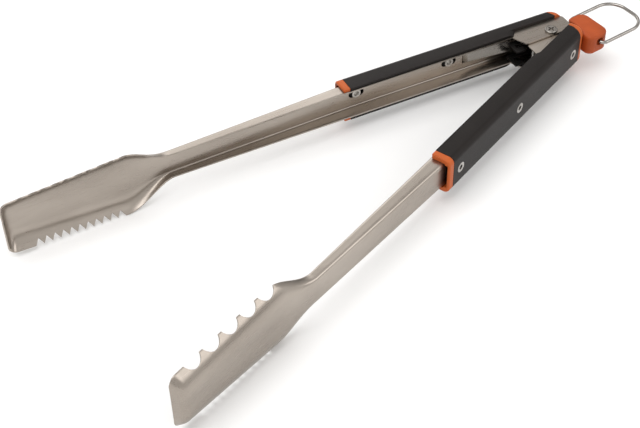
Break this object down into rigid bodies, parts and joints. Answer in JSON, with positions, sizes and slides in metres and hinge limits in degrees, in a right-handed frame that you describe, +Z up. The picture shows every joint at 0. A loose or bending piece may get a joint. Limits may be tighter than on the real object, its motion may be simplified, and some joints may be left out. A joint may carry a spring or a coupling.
{
  "type": "locking spring tongs",
  "caption": "Spring-loaded locking kitchen tongs: two hinged pressed-steel arms with scooped, scalloped and toothed jaws, plastic grips, a pull-tab lock and a hanging loop.",
  "frame": {"origin": "centre of the bounding box at its base, the tongs lying on one side with the arms open", "axes": "+Z up along the pivot axis, -X towards the jaw tips, +X towards the hanging loop, +Y towards arm a"},
  "size_m": [0.4628, 0.1908, 0.0493],
  "materials": {
    "pressed_steel": "fine brushed, warm grey",
    "grip_plastic": "fine matt texture",
    "trim_plastic": "satin",
    "tab_plastic": "satin",
    "rivet_steel": "satin",
    "screw_steel": "satin",
    "bush_plastic": "plain",
    "spring_steel": "polished strip",
    "lock_steel": "blackened",
    "pin_steel": "plain",
    "wire": "polished wire"
  },
  "bodies": {
    "arm_a": {"arm_a_channel": "pressed_steel", "grip_a_cover": "grip_plastic", "grip_a_front_trim": "trim_plastic", "grip_a_rear_trim": "trim_plastic", "grip_a_rivets": "rivet_steel", "pivot_screw": "screw_steel", "pivot_sleeve": "screw_steel", "pivot_bush": "bush_plastic", "leaf_spring": "spring_steel"},
    "arm_b": {"arm_b_channel": "pressed_steel", "grip_b_cover": "grip_plastic", "grip_b_front_trim": "trim_plastic", "grip_b_rear_trim": "trim_plastic", "grip_b_rivets": "rivet_steel", "catch_pin": "pin_steel"},
    "lock": {"lock_plate_upper": "lock_steel", "lock_plate_lower": "lock_steel", "lock_dowel": "pin_steel", "lock_tab": "tab_plastic"},
    "loop": {"hanging_loop": "wire"}
  },
  "joints": [
    {"name": "arm_hinge", "type": "hinge", "parent": "arm_a", "child": "arm_b", "pos_m": [0.1601, 0, 0.0248], "axis": [0, 0, -1], "range_deg": [0, 25.4], "stiffness_Nm_per_rad": 0.6, "springref_deg": -17.19, "deforming": ["leaf_spring"]},
    {"name": "lock_slide", "type": "slide", "parent": "arm_a", "child": "lock", "axis": [0.9737, -0.2277, 0], "range_m": [0, 0.006]},
    {"name": "loop_hinge", "type": "hinge", "parent": "lock", "child": "loop", "pos_m": [0.18753, -0.00939, 0.0268], "axis": [0.0837, 0.9965, 0], "range_deg": [-110, 110]}
  ]
}
